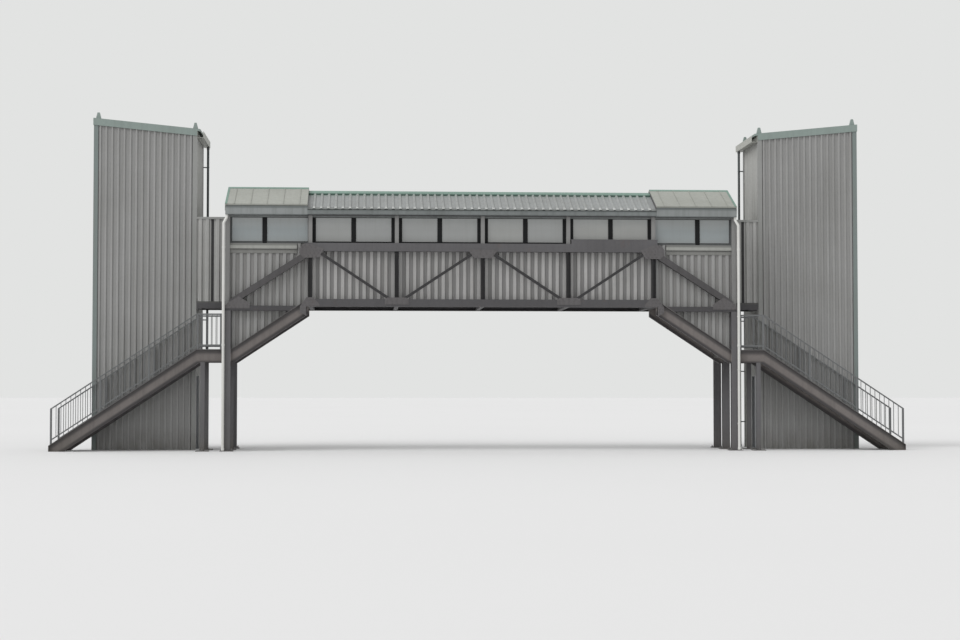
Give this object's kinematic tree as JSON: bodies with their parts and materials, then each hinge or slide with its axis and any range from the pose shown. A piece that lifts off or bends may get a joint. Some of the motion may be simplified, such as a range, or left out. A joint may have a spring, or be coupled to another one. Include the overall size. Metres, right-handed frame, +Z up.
{
  "type": "covered railway footbridge with stairs and lift towers",
  "caption": "Covered steel truss footbridge over railway tracks, with a ribbed roof, a band of windows, a straight stair at each end and tall clad lift towers.",
  "frame": {"origin": "centre of the footprint at platform level", "axes": "+X along the bridge, +Y away from the stairs towards the lift towers' backs, +Z up"},
  "size_m": [23.855, 3.845, 9.5532],
  "materials": {
    "dark_steel": "weathered dark grey paint, hazy satin",
    "truss_steel": "weathered very dark grey paint",
    "gusset_steel": "weathered mid grey paint",
    "deck": "grey anti-slip coating",
    "wall_sheet": "light grey coated ribbed sheet, lightly dirty",
    "window_frame": "dark grey satin",
    "window_pane": "frosted pale grey",
    "wall_post": "mid grey satin",
    "trim": "pale grey folded flashing",
    "roof_sheet": "light grey-green coated ribbed sheet, dulled",
    "end_roof": "pale grey coated sheet, dulled",
    "gutter": "mid grey coated, streaked",
    "tread": "grey anti-slip coating",
    "rail": "grey satin",
    "tower_sheet": "light grey coated ribbed panel",
    "tower_trim": "grey-green folded sheet, dulled",
    "gasket": "black rubber gaiter",
    "dark_pipe": "dark grey satin",
    "lift_door": "brushed",
    "white_pipe": "white, slightly dirty"
  },
  "bodies": {
    "root": {"back_bottom_chord": "dark_steel", "back_end_roofs": "end_roof", "back_gusset_plates": "gusset_steel", "back_roof_sheets": "roof_sheet", "back_top_chord": "dark_steel", "back_truss_diagonals": "truss_steel", "back_truss_verticals": "truss_steel", "back_wall_posts": "wall_post", "back_wall_sheeting": "wall_sheet", "back_window_frames": "window_frame", "back_window_panes": "window_pane", "corner_downpipes": "white_pipe", "eaves_beams": "dark_steel", "eaves_gutters": "gutter", "end_fascias": "gutter", "end_sills": "trim", "end_ties": "dark_steel", "floor_beams": "dark_steel", "front_bottom_chord": "dark_steel", "front_end_roofs": "end_roof", "front_gusset_plates": "gusset_steel", "front_roof_sheets": "roof_sheet", "front_top_chord": "dark_steel", "front_truss_diagonals": "truss_steel", "front_truss_verticals": "truss_steel", "front_wall_posts": "wall_post", "front_wall_sheeting": "wall_sheet", "front_window_frames": "window_frame", "front_window_panes": "window_pane", "gable_ends": "wall_sheet", "landing_columns": "dark_steel", "lift_doors": "lift_door", "link_beams": "dark_steel", "link_decks": "deck", "link_guard_rails": "rail", "link_joints": "gasket", "link_roofs": "end_roof", "link_walls": "tower_sheet", "rafters": "dark_steel", "ridge_beam": "dark_steel", "ridge_capping": "roof_sheet", "span_deck": "deck", "stair_balustrades": "rail", "stair_doorway_panels": "wall_sheet", "stair_doorway_posts": "wall_post", "stair_landings": "tread", "stair_sheeting": "wall_sheet", "stair_strings": "dark_steel", "stair_treads": "tread", "tower_back_walls": "tower_sheet", "tower_corner_trims": "tower_trim", "tower_downpipes": "dark_pipe", "tower_front_walls": "tower_sheet", "tower_gutters": "trim", "tower_inner_walls": "tower_sheet", "tower_outer_walls": "tower_sheet", "tower_roofs": "tower_trim", "trestle_columns": "dark_steel"}
  },
  "joints": []
}
